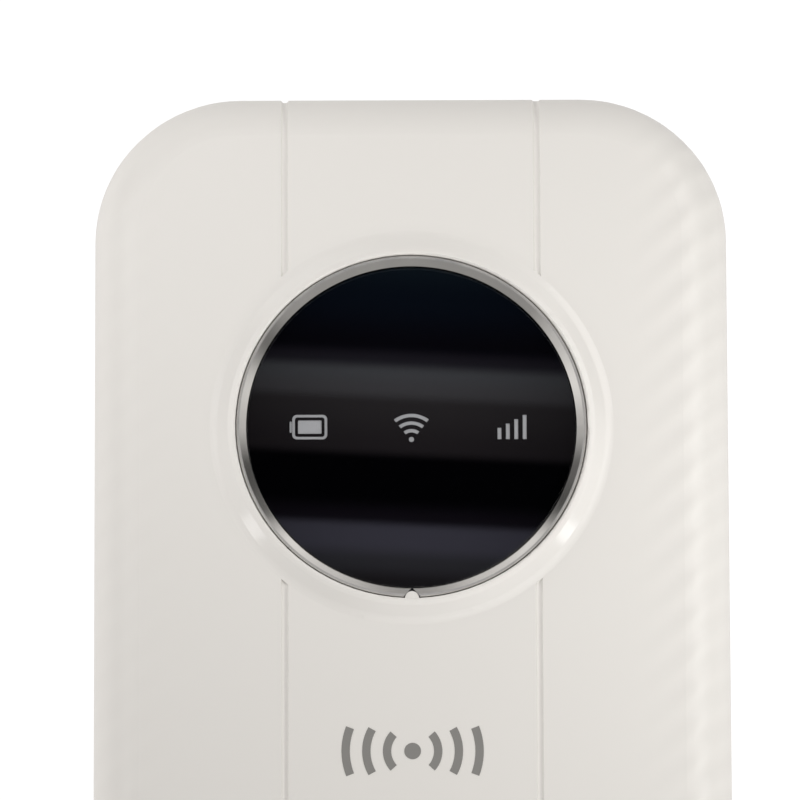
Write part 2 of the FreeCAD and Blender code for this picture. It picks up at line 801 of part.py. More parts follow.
def back_cover():
    """Removable cover that wraps the battery side; four upright tabs locate it."""
    body = new_body("back_cover")
    pad(outline(Drawing(body, "outline")), "back_split")
    pocket(outline(Drawing(body, "inside", level="back_split"), "back_skin"), "back_split - back_skin")
    round_edges(body, "inner_edge", "back_edge - back_skin", level_edges("back_skin"))
    round_edges(body, "edge", "back_edge", level_edges("0"))
    tabs = Drawing(body, "tabs", level="back_skin - weld")
    for side_x in (-1, 1):
        for side_y in (-1, 1):
            tabs.rectangle(f"{side_x} * (body_width / 2 - skirt_inset - clip_inset - clip_wall / 2)",
                           f"{side_y} * clip_y", "clip_wall", "clip_length")
    pad(tabs, "back_split - clip_top_gap - back_skin + weld")
    # thumb scallop in the rim at the bottom end
    pocket(Drawing(body, "scallop", plane="XZ_Plane", level="body_length / 2 + overshoot")
           .circle("scallop_x", "back_split + scallop_rise", "scallop_radius"),
           "overshoot + scallop_depth")
    return body


def frame_screws():
    """Four screws that hold the frame to the bosses of the front cover."""
    body = new_body("frame_screws")
    heads = Drawing(body, "heads", level="screw_head_level")
    shanks = Drawing(body, "shanks", level="screw_head_level - weld")
    drives = Drawing(body, "drives", level="screw_head_level - screw_head_height")
    for x, y in post_places():
        heads.circle(x, y, "screw_head")
        shanks.circle(x, y, "screw_radius")
        drives.cross(x, y, "drive_length", "drive_width")
    pad(heads, "screw_head_height", downward=True)
    pad(shanks, "screw_length")
    pocket(drives, "drive_depth", upward=True)
    return body


# ---------------------------------------------------------------- display

def display_ring():
    """Trim ring that slopes in to the lens, split by a V at six o'clock for the cover's key."""
    body = new_body("display_ring", y="display_y")
    revolve(Drawing(body, "profile", plane="XZ_Plane").polygon([
        ("ring_inner", "seat_level + film_thickness + stack_gap"),
        ("ring_outer", "seat_level + film_thickness + stack_gap"),
        ("ring_outer", "ring_rim - ring_bevel"),
        ("ring_outer - ring_bevel", "ring_rim"),
        ("ring_outer - ring_bevel - ring_flat", "ring_rim"),
        ("ring_inner + ring_bevel", "lens_top + ring_bevel"),
        ("ring_inner", "lens_top + stack_gap")]))
    pocket(Drawing(body, "notch", level="seat_level").polygon([
        ("0", "-ring_inner + notch_reach"),
        ("-key_gap", "-ring_outer - weld"),
        ("key_gap", "-ring_outer - weld")]), "through", upward=True)
    return body


def display_lens():
    body = new_body("display_lens", y="display_y", z="lens_top - lens_thickness")
    pad(Drawing(body, "disc").circle("0", "0", "lens_radius"), "lens_thickness")
    round_edges(body, "edge", "lens_chamfer", level_edges("lens_thickness"), kind="Chamfer")
    return body


def icon_mask():
    """Black film under the lens with openings for a battery, a fan of waves and four bars."""
    body = new_body("icon_mask", y="display_y", z="lens_top - lens_thickness - stack_gap - mask_thickness")
    pad(Drawing(body, "disc").circle("0", "0", "mask_radius"), "mask_thickness")
    icons = Drawing(body, "icons")
    battery_icon(icons)
    for step in range(3):
        icons.band("0", "waves_y", f"wave_first + {step} * wave_step", "wave_stroke", 90, WAVE_HALF_ANGLE)
    icons.circle("0", "waves_y + wave_dot_rise", "wave_dot")
    for step in range(4):
        height = f"bar_height + {step} * bar_growth"
        icons.rectangle(f"bars_x + {step} * bar_step", f"bars_base + ({height}) / 2", "bar_width", height)
    pocket(icons, "mask_thickness", upward=True)
    return body


def battery_icon(icons):
    """An outline with a filled middle, and a terminal at its left end."""
    width, height = "battery_icon_width", "battery_icon_height"
    for inset, radius in (("0", "battery_icon_corner"), ("icon_line", "battery_icon_corner / 2"),
                          ("(icon_line + icon_space)", "battery_icon_corner / 5")):
        icons.rounded("battery_icon_x", "battery_icon_y", f"{width} - 2 * {inset}",
                      f"{height} - 2 * {inset}", radius)
    icons.rounded(f"battery_icon_x - ({width} + icon_line) / 2", "battery_icon_y", "terminal_width",
                  "terminal_height", "battery_icon_corner / 5")


def diffuser_sheet():
    """Frosted film that fills the icon openings from below."""
    below_mask = "lens_top - lens_thickness - mask_thickness - 2 * stack_gap"
    body = new_body("diffuser_sheet", y="display_y", z=f"{below_mask} - diffuser_thickness")
    pad(Drawing(body, "disc").circle("0", "0", "diffuser_radius"), "diffuser_thickness")
    return body


def lens_gasket():
    """Double-sided adhesive ring under the lens stack, with a thin film under the trim ring."""
    body = new_body("lens_gasket", y="display_y", z="seat_level")
    ring = Drawing(body, "ring").circle("0", "0", "diffuser_radius")
    ring.circle("0", "0", "seat_radius + gasket_inset")
    pad(ring, "lens_top - lens_thickness - mask_thickness - diffuser_thickness - 3 * stack_gap - seat_level")
    film = Drawing(body, "film").circle("0", "0", "ring_outer")
    film.circle("0", "0", "seat_radius + 2 * gasket_inset")
    pad(film, "film_thickness")
    pocket(Drawing(body, "key_relief").circle("0", "-collar_inner", "key_radius + fit_gap"),
           "film_thickness", upward=True)
    return body


def icon_places():
    """Behind the battery, the waves and the bars."""
    return [("battery_icon_x", "0"), ("0", "0"), ("bars_x + 1.5 * bar_step", "0")]


def light_box():
    """White housing with one chamber for each icon."""
    bottom = f"{BOARD_TOP} + 2 * fit_gap"
    body = new_body("light_box", y="display_y", z=bottom)
    height = f"seat_level + 2 * fit_gap - ({bottom})"
    pad(Drawing(body, "disc").circle("0", "0", "seat_radius - loose_gap"), height)
    chambers = Drawing(body, "chambers")
    for x, y in icon_places():
        chambers.rounded(x, y, "chamber_width", "chamber_length", "chamber_corner")
    pocket(chambers, height, upward=True)
    relief = Drawing(body, "relief")
    for side in (-1, 1):
        relief.rounded("0", f"{side} * relief_y", "relief_width", "relief_length", "chamber_corner")
    pocket(relief, f"{height} - box_skin", upward=True)
    return body


def status_leds():
    leds = [block(f"status_led_{i}", x, f"display_y + {y}", BOARD_TOP, "led_length", "led_width",
                  "led_height")
            for i, (x, y) in enumerate(icon_places(), start=1)]
    return group("status_leds", leds)


def front_mark():
    """Flat printed pictogram of radio waves on both sides of a dot."""
    body = new_body("front_mark", y="mark_y", z="face_level")
    mark = Drawing(body, "waves").circle("0", "0", "mark_dot")
    for middle in (0, 180):
        for step, half_angle in enumerate(MARK_HALF_ANGLES):
            mark.band("0", "0", f"mark_first + {step} * mark_step", "mark_stroke", middle, half_angle)
    pad(mark, "mark_thickness")
    return body


# ---------------------------------------------------------------- battery

def battery():
    """Flat pack: cell, moulded end with recessed contacts, and a blank label."""
    low = "battery_bottom"
    end = "battery_y - battery_length / 2"
    cell = new_body("battery_cell", y=f"{end} + cap_length + fit_gap", z=low)
    pad(Drawing(cell, "section", plane="XZ_Plane")
        .rounded("0", "battery_depth / 2", "battery_width - 2 * cell_inset", "battery_depth", "cell_round"),
        "battery_length - cap_length - fit_gap", downward=True)
    cap = new_body("battery_cap", y=end, z=low)
    pad(Drawing(cap, "section", plane="XZ_Plane")
        .rounded("0", "battery_depth / 2", "battery_width", "battery_depth", "cap_round"),
        "cap_length", downward=True)
    windows = Drawing(cap, "windows", plane="XZ_Plane")
    pads = []
    for step in (-1, 0, 1):
        x = f"contact_x + {step} * contact_pitch"
        windows.rectangle(x, "battery_depth / 2 + contact_rise", "pad_width + 2 * fit_gap",
                          "pad_height + 2 * fit_gap")
        pads.append(block(f"battery_pad_{step + 2}", x, f"{end} + pad_recess - 2 * fit_gap",
                          f"{low} + battery_depth / 2 + contact_rise - pad_height / 2", "pad_width",
                          "pad_thickness", "pad_height"))
    pocket(windows, "pad_recess")
    group("battery_pads", pads)
    plate("battery_label", "0", f"{end} + (cap_length + battery_length) / 2",
          f"{low} - label_thickness - 2 * stack_gap", "battery_width - 2 * label_margin", "label_length",
          "label_thickness", "label_corner")


def battery_connector():
    """Spring contact block under the board, and its three sprung pins."""
    face = "battery_y - battery_length / 2 - battery_gap"
    level = "battery_bottom + battery_depth / 2 + contact_rise"
    holder = new_body("battery_connector", x="contact_x", y=f"{face} - 2 * fit_gap", z="0")
    pad(Drawing(holder, "block", level="holder_bottom")
        .rectangle("0", "-holder_length / 2", "holder_width", "holder_length"),
        "board_bottom - holder_bottom")
    bores = Drawing(holder, "bores", plane="XZ_Plane")
    pins = []
    for step in (-1, 0, 1):
        bores.circle(f"{step} * contact_pitch", level, "pin_radius + fit_gap")
        pin = doc.addObject("Part::Cylinder", f"battery_pin_{step + 2}")
        bind(pin, "Radius", "pin_radius")
        bind(pin, "Height", "pin_length")
        pin.Placement = Placement(Vector(), Rotation(Vector(1, 0, 0), 90))
        place(pin, f"contact_x + {step} * contact_pitch", f"{face} + battery_gap + pin_reach", level)
        pins.append(pin)
    pocket(bores, "pin_length", upward=True)
    group("battery_pins", pins)


# ---------------------------------------------------------------- electronics

def main_board():
    body = new_body("main_board", z="board_bottom")
    pad(outline(Drawing(body, "outline"), "board_inset"), "board_thickness")
    notches = Drawing(body, "notches")
    for x, y in post_places():
        notches.circle(x, y, "post_radius + board_gap")
    for x, y in board_screw_places():
        notches.circle(x, y, "board_screw_radius + loose_gap")
    pocket(notches, "board_thickness", upward=True)
    return body


def board_screws():
    """Three screws that hold the board to the standoffs on the battery bay."""
    body = new_body("board_screws", z=BOARD_TOP)
    heads = Drawing(body, "heads")
    shanks = Drawing(body, "shanks", level="weld")
    drives = Drawing(body, "drives", level="board_head_height")
    for x, y in board_screw_places():
        heads.circle(x, y, "board_screw_head")
        shanks.circle(x, y, "board_screw_radius")
        drives.cross(x, y, "board_drive_length", "board_drive_width")
    pad(heads, "board_head_height")
    pad(shanks, "board_screw_length + weld", downward=True)
    pocket(drives, "board_drive_depth")
    return body


def shield(label, x, y, width, length, height):
    """Pressed can, open towards the board."""
    body = new_body(label, x, y, BOARD_TOP)
    pad(Drawing(body, "outline").rounded("0", "0", width, length, "can_corner"), height)
    round_edges(body, "edge", "can_edge", level_edges(height))
    pocket(Drawing(body, "inside")
           .rounded("0", "0", f"{width} - 2 * can_wall", f"{length} - 2 * can_wall", "can_corner - can_wall"),
           f"{height} - can_wall", upward=True)
    return body


def chips():
    for label, x, y, width, length, height, corner in CHIPS:
        plate(label, x, y, BOARD_TOP, width, length, height, corner)


def passives():
    """Rows of surface-mounted capacitors and the power inductors beside them."""
    capacitors = []
    for column in range(6):
        for line in range(2):
            capacitors.append(block(f"capacitor_{2 * column + line + 1}",
                                    f"capacitor_x + {column} * capacitor_step",
                                    f"capacitor_y - {line} * capacitor_row", BOARD_TOP,
                                    "capacitor_length", "capacitor_width", "capacitor_width"))
    group("capacitors", capacitors)
    inductors = [block(f"inductor_{i + 1}", f"inductor_x + {i} * inductor_step", "inductor_y", BOARD_TOP,
                       "inductor_size", "inductor_size", "inductor_height") for i in range(3)]
    group("inductors", inductors)


def usb_socket():
    """Type-C receptacle under the board at the bottom end."""
    shell = new_body("usb_shell", y="usb_mouth", z="usb_level")
    pad(Drawing(shell, "outside", plane="XZ_Plane").slot("0", "0", "usb_width", "usb_height"),
        "usb_length", downward=True)
    pocket(Drawing(shell, "inside", plane="XZ_Plane")
           .slot("0", "0", "usb_width - 2 * usb_wall", "usb_height - 2 * usb_wall"),
           "usb_length - usb_wall")
    tongue = new_body("usb_tongue", y="usb_mouth", z="usb_level")
    back = "-usb_length + usb_wall + 2 * stack_gap"
    inside = "(2 * usb_wall + 4 * stack_gap)"
    pad(Drawing(tongue, "base", plane="XZ_Plane", level=back)
        .slot("0", "0", f"usb_width - {inside}", f"usb_height - {inside}"), "tongue_base")
    pad(Drawing(tongue, "blade", plane="XZ_Plane", level=back)
        .rectangle("0", "0", "tongue_width", "tongue_thickness"), "usb_length - usb_wall - tongue_setback")
    contacts = []
    for row, level in ((1, "usb_level + tongue_thickness / 2"),
                       (2, "usb_level - tongue_thickness / 2 - usb_contact_thickness")):
        for column in range(12):
            contacts.append(block(f"usb_contact_{row}_{column + 1}", f"usb_pitch * ({column} - 5.5)",
                                  "usb_mouth + usb_contact_setback", level, "usb_contact_width",
                                  "usb_contact_length", "usb_contact_thickness"))
    group("usb_contacts", contacts)


def card_socket():
    """Push-in socket under the board, its metal frame, and the card that slides out sideways."""
    card_top = "card_bottom + card_thickness"
    base_bottom = f"{card_top} + 3 * stack_gap + sim_contact_thickness"
    middle = "card_x - socket_shift"
    plate("sim_socket_base", middle, "card_y", base_bottom, "card_length + 2 * base_margin_x",
          "card_width + 2 * base_margin_y", f"board_bottom - ({base_bottom})", "socket_corner")
    tray_bottom = "card_bottom - tray_gap - tray_floor"
    tray = new_body("sim_socket_cover", middle, "card_y", tray_bottom)
    pad(Drawing(tray, "outline").rounded("0", "0", "card_length + 2 * tray_margin_x",
                                         "card_width + 2 * tray_margin_y", "socket_corner"),
        f"{base_bottom} - stack_gap - ({tray_bottom})")
    # the slot is closed behind the card and runs out of the tray on the other side
    slot_length = "(card_length + 2 * (tray_margin_x + socket_shift))"
    pocket(Drawing(tray, "slot", level="tray_floor")
           .rectangle(f"{slot_length} / 2 - card_length / 2", "0", slot_length,
                      "card_width + 2 * loose_gap"), "through", upward=True)
    pocket(Drawing(tray, "window")
           .rounded("3 * socket_shift", "0", "tray_window_length", "tray_window_width", "chip_corner"),
           "tray_floor + weld", upward=True)
    contacts = []
    for row in (-1, 1):
        for column in (-1, 0, 1):
            contacts.append(block(f"sim_contact_{(row + 1) // 2 + 1}_{column + 2}",
                                  f"card_x + {row} * sim_contact_x",
                                  f"card_y + {column} * sim_contact_pitch", f"{card_top} + 3 * stack_gap",
                                  "sim_contact_length", "sim_contact_width", "sim_contact_thickness"))
    group("sim_contacts", contacts)
    card = new_body("sim_card", "card_x", "card_y", "card_bottom")
    pad(Drawing(card, "outline").polygon([
        ("-card_length / 2", "-card_width / 2"),
        ("card_length / 2", "-card_width / 2"),
        ("card_length / 2", "card_width / 2"),
        ("-card_length / 2 + card_notch", "card_width / 2"),
        ("-card_length / 2", "card_width / 2 - card_notch")]), "card_thickness")
    pocket(Drawing(card, "chip_seat", level="card_thickness")
           .rounded("0", "0", "chip_length", "chip_width", "chip_corner"), "chip_depth")
    plate("sim_chip", "card_x", "card_y", f"{card_top} - chip_depth", "chip_length - 2 * fit_gap",
          "chip_width - 2 * fit_gap", "chip_depth - stack_gap", "chip_corner - fit_gap")


def power_key():
    """Key cap in the top end, the switch behind it, and the switch's plunger."""
    level = "power_level"
    end = "body_length / 2"
    cap = new_body("power_button", "power_x", end, level)
    pad(Drawing(cap, "stem", plane="XZ_Plane", level="-power_proud")
        .slot("0", "0", "power_width", "power_height"), "power_proud + frame_wall + flange_gap + weld")
    # the crown is rounded where a finger meets it
    front = number("power_proud")
    round_edges(cap, "crown", "crown_round", lambda edge:
                max(abs(edge.BoundBox.YMin - front), abs(edge.BoundBox.YMax - front)) < TOLERANCE)
    pad(Drawing(cap, "flange", plane="XZ_Plane", level="frame_wall + flange_gap")
        .slot("0", "0", "power_width + 2 * flange_reach", "power_height + 2 * flange_rise"),
        "flange_thickness")
    switch = new_body("power_switch", "power_x", end, level)
    face = "frame_wall + switch_setback"
    pad(Drawing(switch, "block", plane="XZ_Plane", level=face)
        .rectangle("0", "0", "switch_width", "switch_height"), "switch_depth")
    pocket(Drawing(switch, "bore", plane="XZ_Plane", level=face)
           .rectangle("0", "0", "plunger_width + 2 * fit_gap", "plunger_height + 2 * fit_gap"),
           "plunger_bore", upward=True)
    plunger = new_body("power_plunger", "power_x", end, level)
    pad(Drawing(plunger, "stem", plane="XZ_Plane", level="frame_wall + flange_gap + flange_thickness")
        .rectangle("0", "0", "plunger_width", "plunger_height"), "plunger_length")


def reset_key():
    """Switch under the board that a pin reaches through the deck."""
    switch = new_body("reset_switch", "reset_x", "reset_y", "board_bottom")
    pad(Drawing(switch, "block").rounded("0", "0", "reset_size", "reset_size", "reset_corner"),
        "reset_height", downward=True)
    pocket(Drawing(switch, "bore", level="-reset_height").circle("0", "0", "reset_tip_radius + fit_gap"),
           "reset_bore", upward=True)
    plunger = new_body("reset_plunger", "reset_x", "reset_y", "board_bottom")
    pad(Drawing(plunger, "stem", level="-reset_height - reset_tip_proud")
        .circle("0", "0", "reset_tip_radius"), "reset_tip_length")


def antennas():
    """Thin aerials glued inside the front cover, and the springs that feed them."""
    under_skin = "face_level - front_skin - aerial_thickness - 2 * stack_gap"
    for label, x, y, width, length in AERIALS:
        body = new_body(label, x, y, under_skin)
        pad(Drawing(body, "outline").rounded("0", "0", width, length, "aerial_corner"), "aerial_thickness")
        slots = Drawing(body, "slots")
        if number(width) > number(length):
            for side in (-1, 1):
                slots.rectangle(f"{side} * aerial_slot_shift", f"{-side} * aerial_slot_rise",
                                f"{width} - 3 * aerial_slot_shift", "aerial_slot")
        else:
            slots.rectangle("0", "aerial_slot_shift / 2", "aerial_slot", f"{length} - 2 * aerial_slot_shift")
        pocket(slots, "aerial_thickness", upward=True)
    springs = [block(f"antenna_spring_{index}", x, y, BOARD_TOP, "spring_length", "spring_width",
                     f"{under_skin} - 2 * stack_gap - ({BOARD_TOP})")
               for index, (x, y) in enumerate(FEEDS, start=1)]
    group("antenna_springs", springs)


def cooling():
    """Soft pad on the modem's can, and the graphite sheet that it presses against."""
    can_top = f"{BOARD_TOP} + modem_can_height"
    sheet_bottom = "face_level - front_skin - fit_gap - spreader_thickness"
    plate("thermal_pad", "modem_x", "modem_y", f"{can_top} + stack_gap", "pad_x_size", "pad_y_size",
          f"{sheet_bottom} - 2 * stack_gap - ({can_top})", "pad_corner")
    plate("heat_spreader", "spreader_x", "modem_y", sheet_bottom, "spreader_width", "spreader_length",
          "spreader_thickness", "spreader_corner")


# ---------------------------------------------------------------- build

def build():
    front_cover()
    display_ring()
    display_lens()
    icon_mask()
    diffuser_sheet()
    lens_gasket()
    light_box()
    status_leds()
    front_mark()
    middle_frame()
    frame_screws()
    back_cover()
    battery()
    battery_connector()
    main_board()
    board_screws()
    shield("modem_shield", "modem_x", "modem_y", "24", "18", "modem_can_height")
    shield("wifi_shield", "18", "-16", "12", "12", "wifi_can_height")
    chips()
    passives()
    usb_socket()
    card_socket()
    power_key()
    reset_key()
    antennas()
    cooling()


def check():
    for item in doc.Objects:
        if "Invalid" in item.State or "Error" in item.State:
            raise ValueError(f"{item.Label}: {item.State}")
    for item in sub_parts:
        if item.Shape.isNull() or not item.Shape.isValid() or not item.Shape.Solids:
            raise ValueError(f"{item.Label}: bad shape")


build()
doc.recompute()
check()
os.makedirs("parts", exist_ok=True)
for item in sub_parts:
    item.Shape.exportStep(f"parts/{item.Label}.step")
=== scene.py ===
import json
import math

import bpy
from mathutils import Matrix, Quaternion, Vector

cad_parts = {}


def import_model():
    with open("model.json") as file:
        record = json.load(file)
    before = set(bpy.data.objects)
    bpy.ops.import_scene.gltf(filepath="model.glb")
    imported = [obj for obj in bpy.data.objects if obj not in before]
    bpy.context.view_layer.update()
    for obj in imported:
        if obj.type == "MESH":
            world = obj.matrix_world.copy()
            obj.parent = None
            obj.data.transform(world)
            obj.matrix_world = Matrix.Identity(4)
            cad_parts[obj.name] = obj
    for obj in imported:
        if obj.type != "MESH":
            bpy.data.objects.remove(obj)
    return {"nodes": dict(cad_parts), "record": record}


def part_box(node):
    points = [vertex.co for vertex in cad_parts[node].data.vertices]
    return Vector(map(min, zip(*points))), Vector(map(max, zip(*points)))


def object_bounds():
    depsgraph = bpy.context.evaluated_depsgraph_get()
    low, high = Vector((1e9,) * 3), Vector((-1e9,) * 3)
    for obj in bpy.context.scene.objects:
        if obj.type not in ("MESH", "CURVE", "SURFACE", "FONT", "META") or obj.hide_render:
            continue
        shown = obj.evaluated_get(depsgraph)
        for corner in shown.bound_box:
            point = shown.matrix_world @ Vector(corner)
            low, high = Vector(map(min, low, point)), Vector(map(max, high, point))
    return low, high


# Looks of a pocket mobile hotspot that lies on its back: materials, set, soft light and camera.
# Metres, in the CAD's own frame: +Z out of the display face, +Y towards the top end.

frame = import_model()
cad_low, cad_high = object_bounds()
MM = 0.001

# the room: tint and strength of its soft light, and what is added to it along +X, +Y and +Z
ROOM_TINT = (1.0, 0.98, 0.96)
ROOM_BASE = 0.862
ROOM_SLOPES = (-0.15, -0.10, -0.46)
# the camera sees plain white in its place
BACKDROP = 1.05

# The same room as shiny faces mirror it. Stops are (turns from +X anticlockwise, strength), and heights
# and spots are parts of a unit direction. The flat face mirrors one spot of the ceiling for the camera,
# the collar what lies around that spot, and the ring's slope what stands around the horizon.
MIRROR_OVERHEAD = 0.7
MIRROR_SPOT_Y = 0.23
MIRROR_SPOT_FADE = (0.12, 0.36)
MIRROR_CEILING_HEIGHT = (0.55, 0.85)
MIRROR_CEILING = (
    (0.0, 2.2),
    (0.083, 2.9),
    (0.167, 0.6),
    (0.25, 0.0),
    (0.333, 0.0),
    (0.417, 0.0),
    (0.5, 1.8),
    (0.583, 0.7),
    (0.667, 0.2),
    (0.75, 1.8),
    (0.833, 2.6),
    (0.917, 1.9),
    (1.0, 2.2),
)
MIRROR_AROUND = (
    (0.0, 0.95),
    (0.035, 0.72),
    (0.075, 0.10),
    (0.115, 0.15),
    (0.15, 1.10),
    (0.185, 0.85),
    (0.25, 0.45),
    (0.315, 0.90),
    (0.35, 1.05),
    (0.385, 0.10),
    (0.425, 0.15),
    (0.46, 0.65),
    (0.505, 1.10),
    (0.55, 0.75),
    (0.60, 0.38),
    (0.90, 0.42),
    (0.95, 0.20),
    (1.0, 0.95),
)

# the table: its own glow and shade for the camera, and what it sends up to the object
FLOOR_SIZE = 60
FLOOR_DROP = 0.02 * MM
FLOOR_GLOW = 0.97
FLOOR_SHADE = (0.12, 0.12, 0.12)
FLOOR_BOUNCE = 0.78

# lamps that light the case, aimed at the origin: name, place, watts, colour
LAMP_SIDE = 0.06
LAMPS = (
    ("key_right", (0.096, 0.0126, 0.09), 0.0574, (1.0, 0.99, 0.97)),
    ("fill_top", (-0.044, 0.063, 0.091), 0.0223, (1.0, 0.99, 0.985)),
    ("rim_left", (-0.20, 0.03, 0.04), 0.037, (1.0, 0.99, 0.985)),
)

# round bright cards that gleam on the collar: name, direction from the display, strength
GLEAM_DISTANCE = 0.6
GLEAM_RADIUS = 0.035
GLEAMS = (
    ("window_right", (0.653, -0.232, 0.721), 9.5),
    ("window_left", (-0.683, -0.224, 0.695), 5.0),
)

# the camera: a long lens on the bottom end's side of the face's normal
CAMERA_DISTANCE = 1.1
CAMERA_OFF_NORMAL = math.radians(13.3)
CAMERA_ROLL = math.radians(-0.2)
FRAME_WIDTH = 81.75 * MM
SENSOR_WIDTH = 36
# the display's centre stands this share of the frame right of and below the frame's centre
DISPLAY_RIGHT = 0.0142
DISPLAY_BELOW = 0.0335

# the card that the display mirrors for the camera, and its size over what the camera needs of it
BAND_CARD_DISTANCE = 0.5
BAND_CARD_MARGIN = 1.03
# what it shows, from the display's bottom (0) to its top (1), as emitted colour
BAND_SLOPE = 0.05
BAND_STRENGTH = 1.4
BAND_SIDE_LOSS = 0.45
BANDS = (
    (0.0, (0.11, 0.10, 0.11)),
    (0.06, (0.24, 0.24, 0.28)),
    (0.12, (0.43, 0.42, 0.56)),
    (0.16, (0.43, 0.42, 0.56)),
    (0.195, (0.05, 0.04, 0.06)),
    (0.26, (0.0, 0.0, 0.0)),
    (0.37, (0.0, 0.0, 0.0)),
    (0.41, (0.15, 0.13, 0.14)),
    (0.54, (0.22, 0.20, 0.21)),
    (0.585, (0.50, 0.49, 0.53)),
    (0.635, (0.54, 0.56, 0.61)),
    (0.675, (0.12, 0.11, 0.15)),
    (0.72, (0.018, 0.016, 0.03)),
    (0.86, (0.022, 0.04, 0.075)),
    (1.0, (0.05, 0.09, 0.13)),
)

# the middle part of a noise's values, which the looks spread over a range of their own
NOISE_MIDDLE = (0.3, 0.7)

# the mix node has a pair of input sockets for each kind of value
MIX_NUMBERS = (2, 3)
MIX_COLORS = (6, 7)

# the case: clear coat where it is satin and where it is polished, around the display on the front only
CASE_COAT = (0.06, 0.7)
POLISH_EDGE = (20 * MM, 22 * MM)
POLISH_ABOVE = 14 * MM

# faint diagonal ribs on the front shell: clear on the right, a trace on the left, none between; their crests
# are also painted lighter and their troughs darker, as painted shade
RIB_TILT = math.radians(40)
RIB_PITCH = 2.957 * MM
RIB_DEPTH = 0.07 * MM
RIB_ABOVE = 9 * MM
RIB_RIGHT_FADE = (21 * MM, 30 * MM)
RIB_LEFT_FADE = (22 * MM, 31 * MM)
RIB_LEFT = 0.35
# how much lighter the rib crests and darker the troughs are painted: painted shade of the relief
RIB_PAINTED_SHADE = 0.55

# the row of chip capacitors
CAPACITOR_PITCH = 2.2 * MM
CAPACITOR_START = 0.01 * MM
# a part's middle, and where its ceramic ends on both sides of that, as shares of the pitch
CAPACITOR_MIDDLE = 0.23
CAPACITOR_CERAMIC = (0.12, 0.13)


# ---------------------------------------------------------------- node helpers

def put(tree, socket, value):
    """Link a socket to another node's output, or set it to a number or a colour."""
    if isinstance(value, bpy.types.NodeSocket):
        tree.links.new(value, socket)
    elif isinstance(value, (tuple, list)) and len(value) == 3 and len(socket.default_value) == 4:
        socket.default_value = (*value, 1.0)
    else:
        socket.default_value = value


def math_node(tree, operation, *values):
    """One maths step; values are numbers or other nodes' outputs."""
    item = tree.nodes.new("ShaderNodeMath")
    item.operation = operation
    for socket, value in zip(item.inputs, values):
        put(tree, socket, value)
    return item.outputs[0]


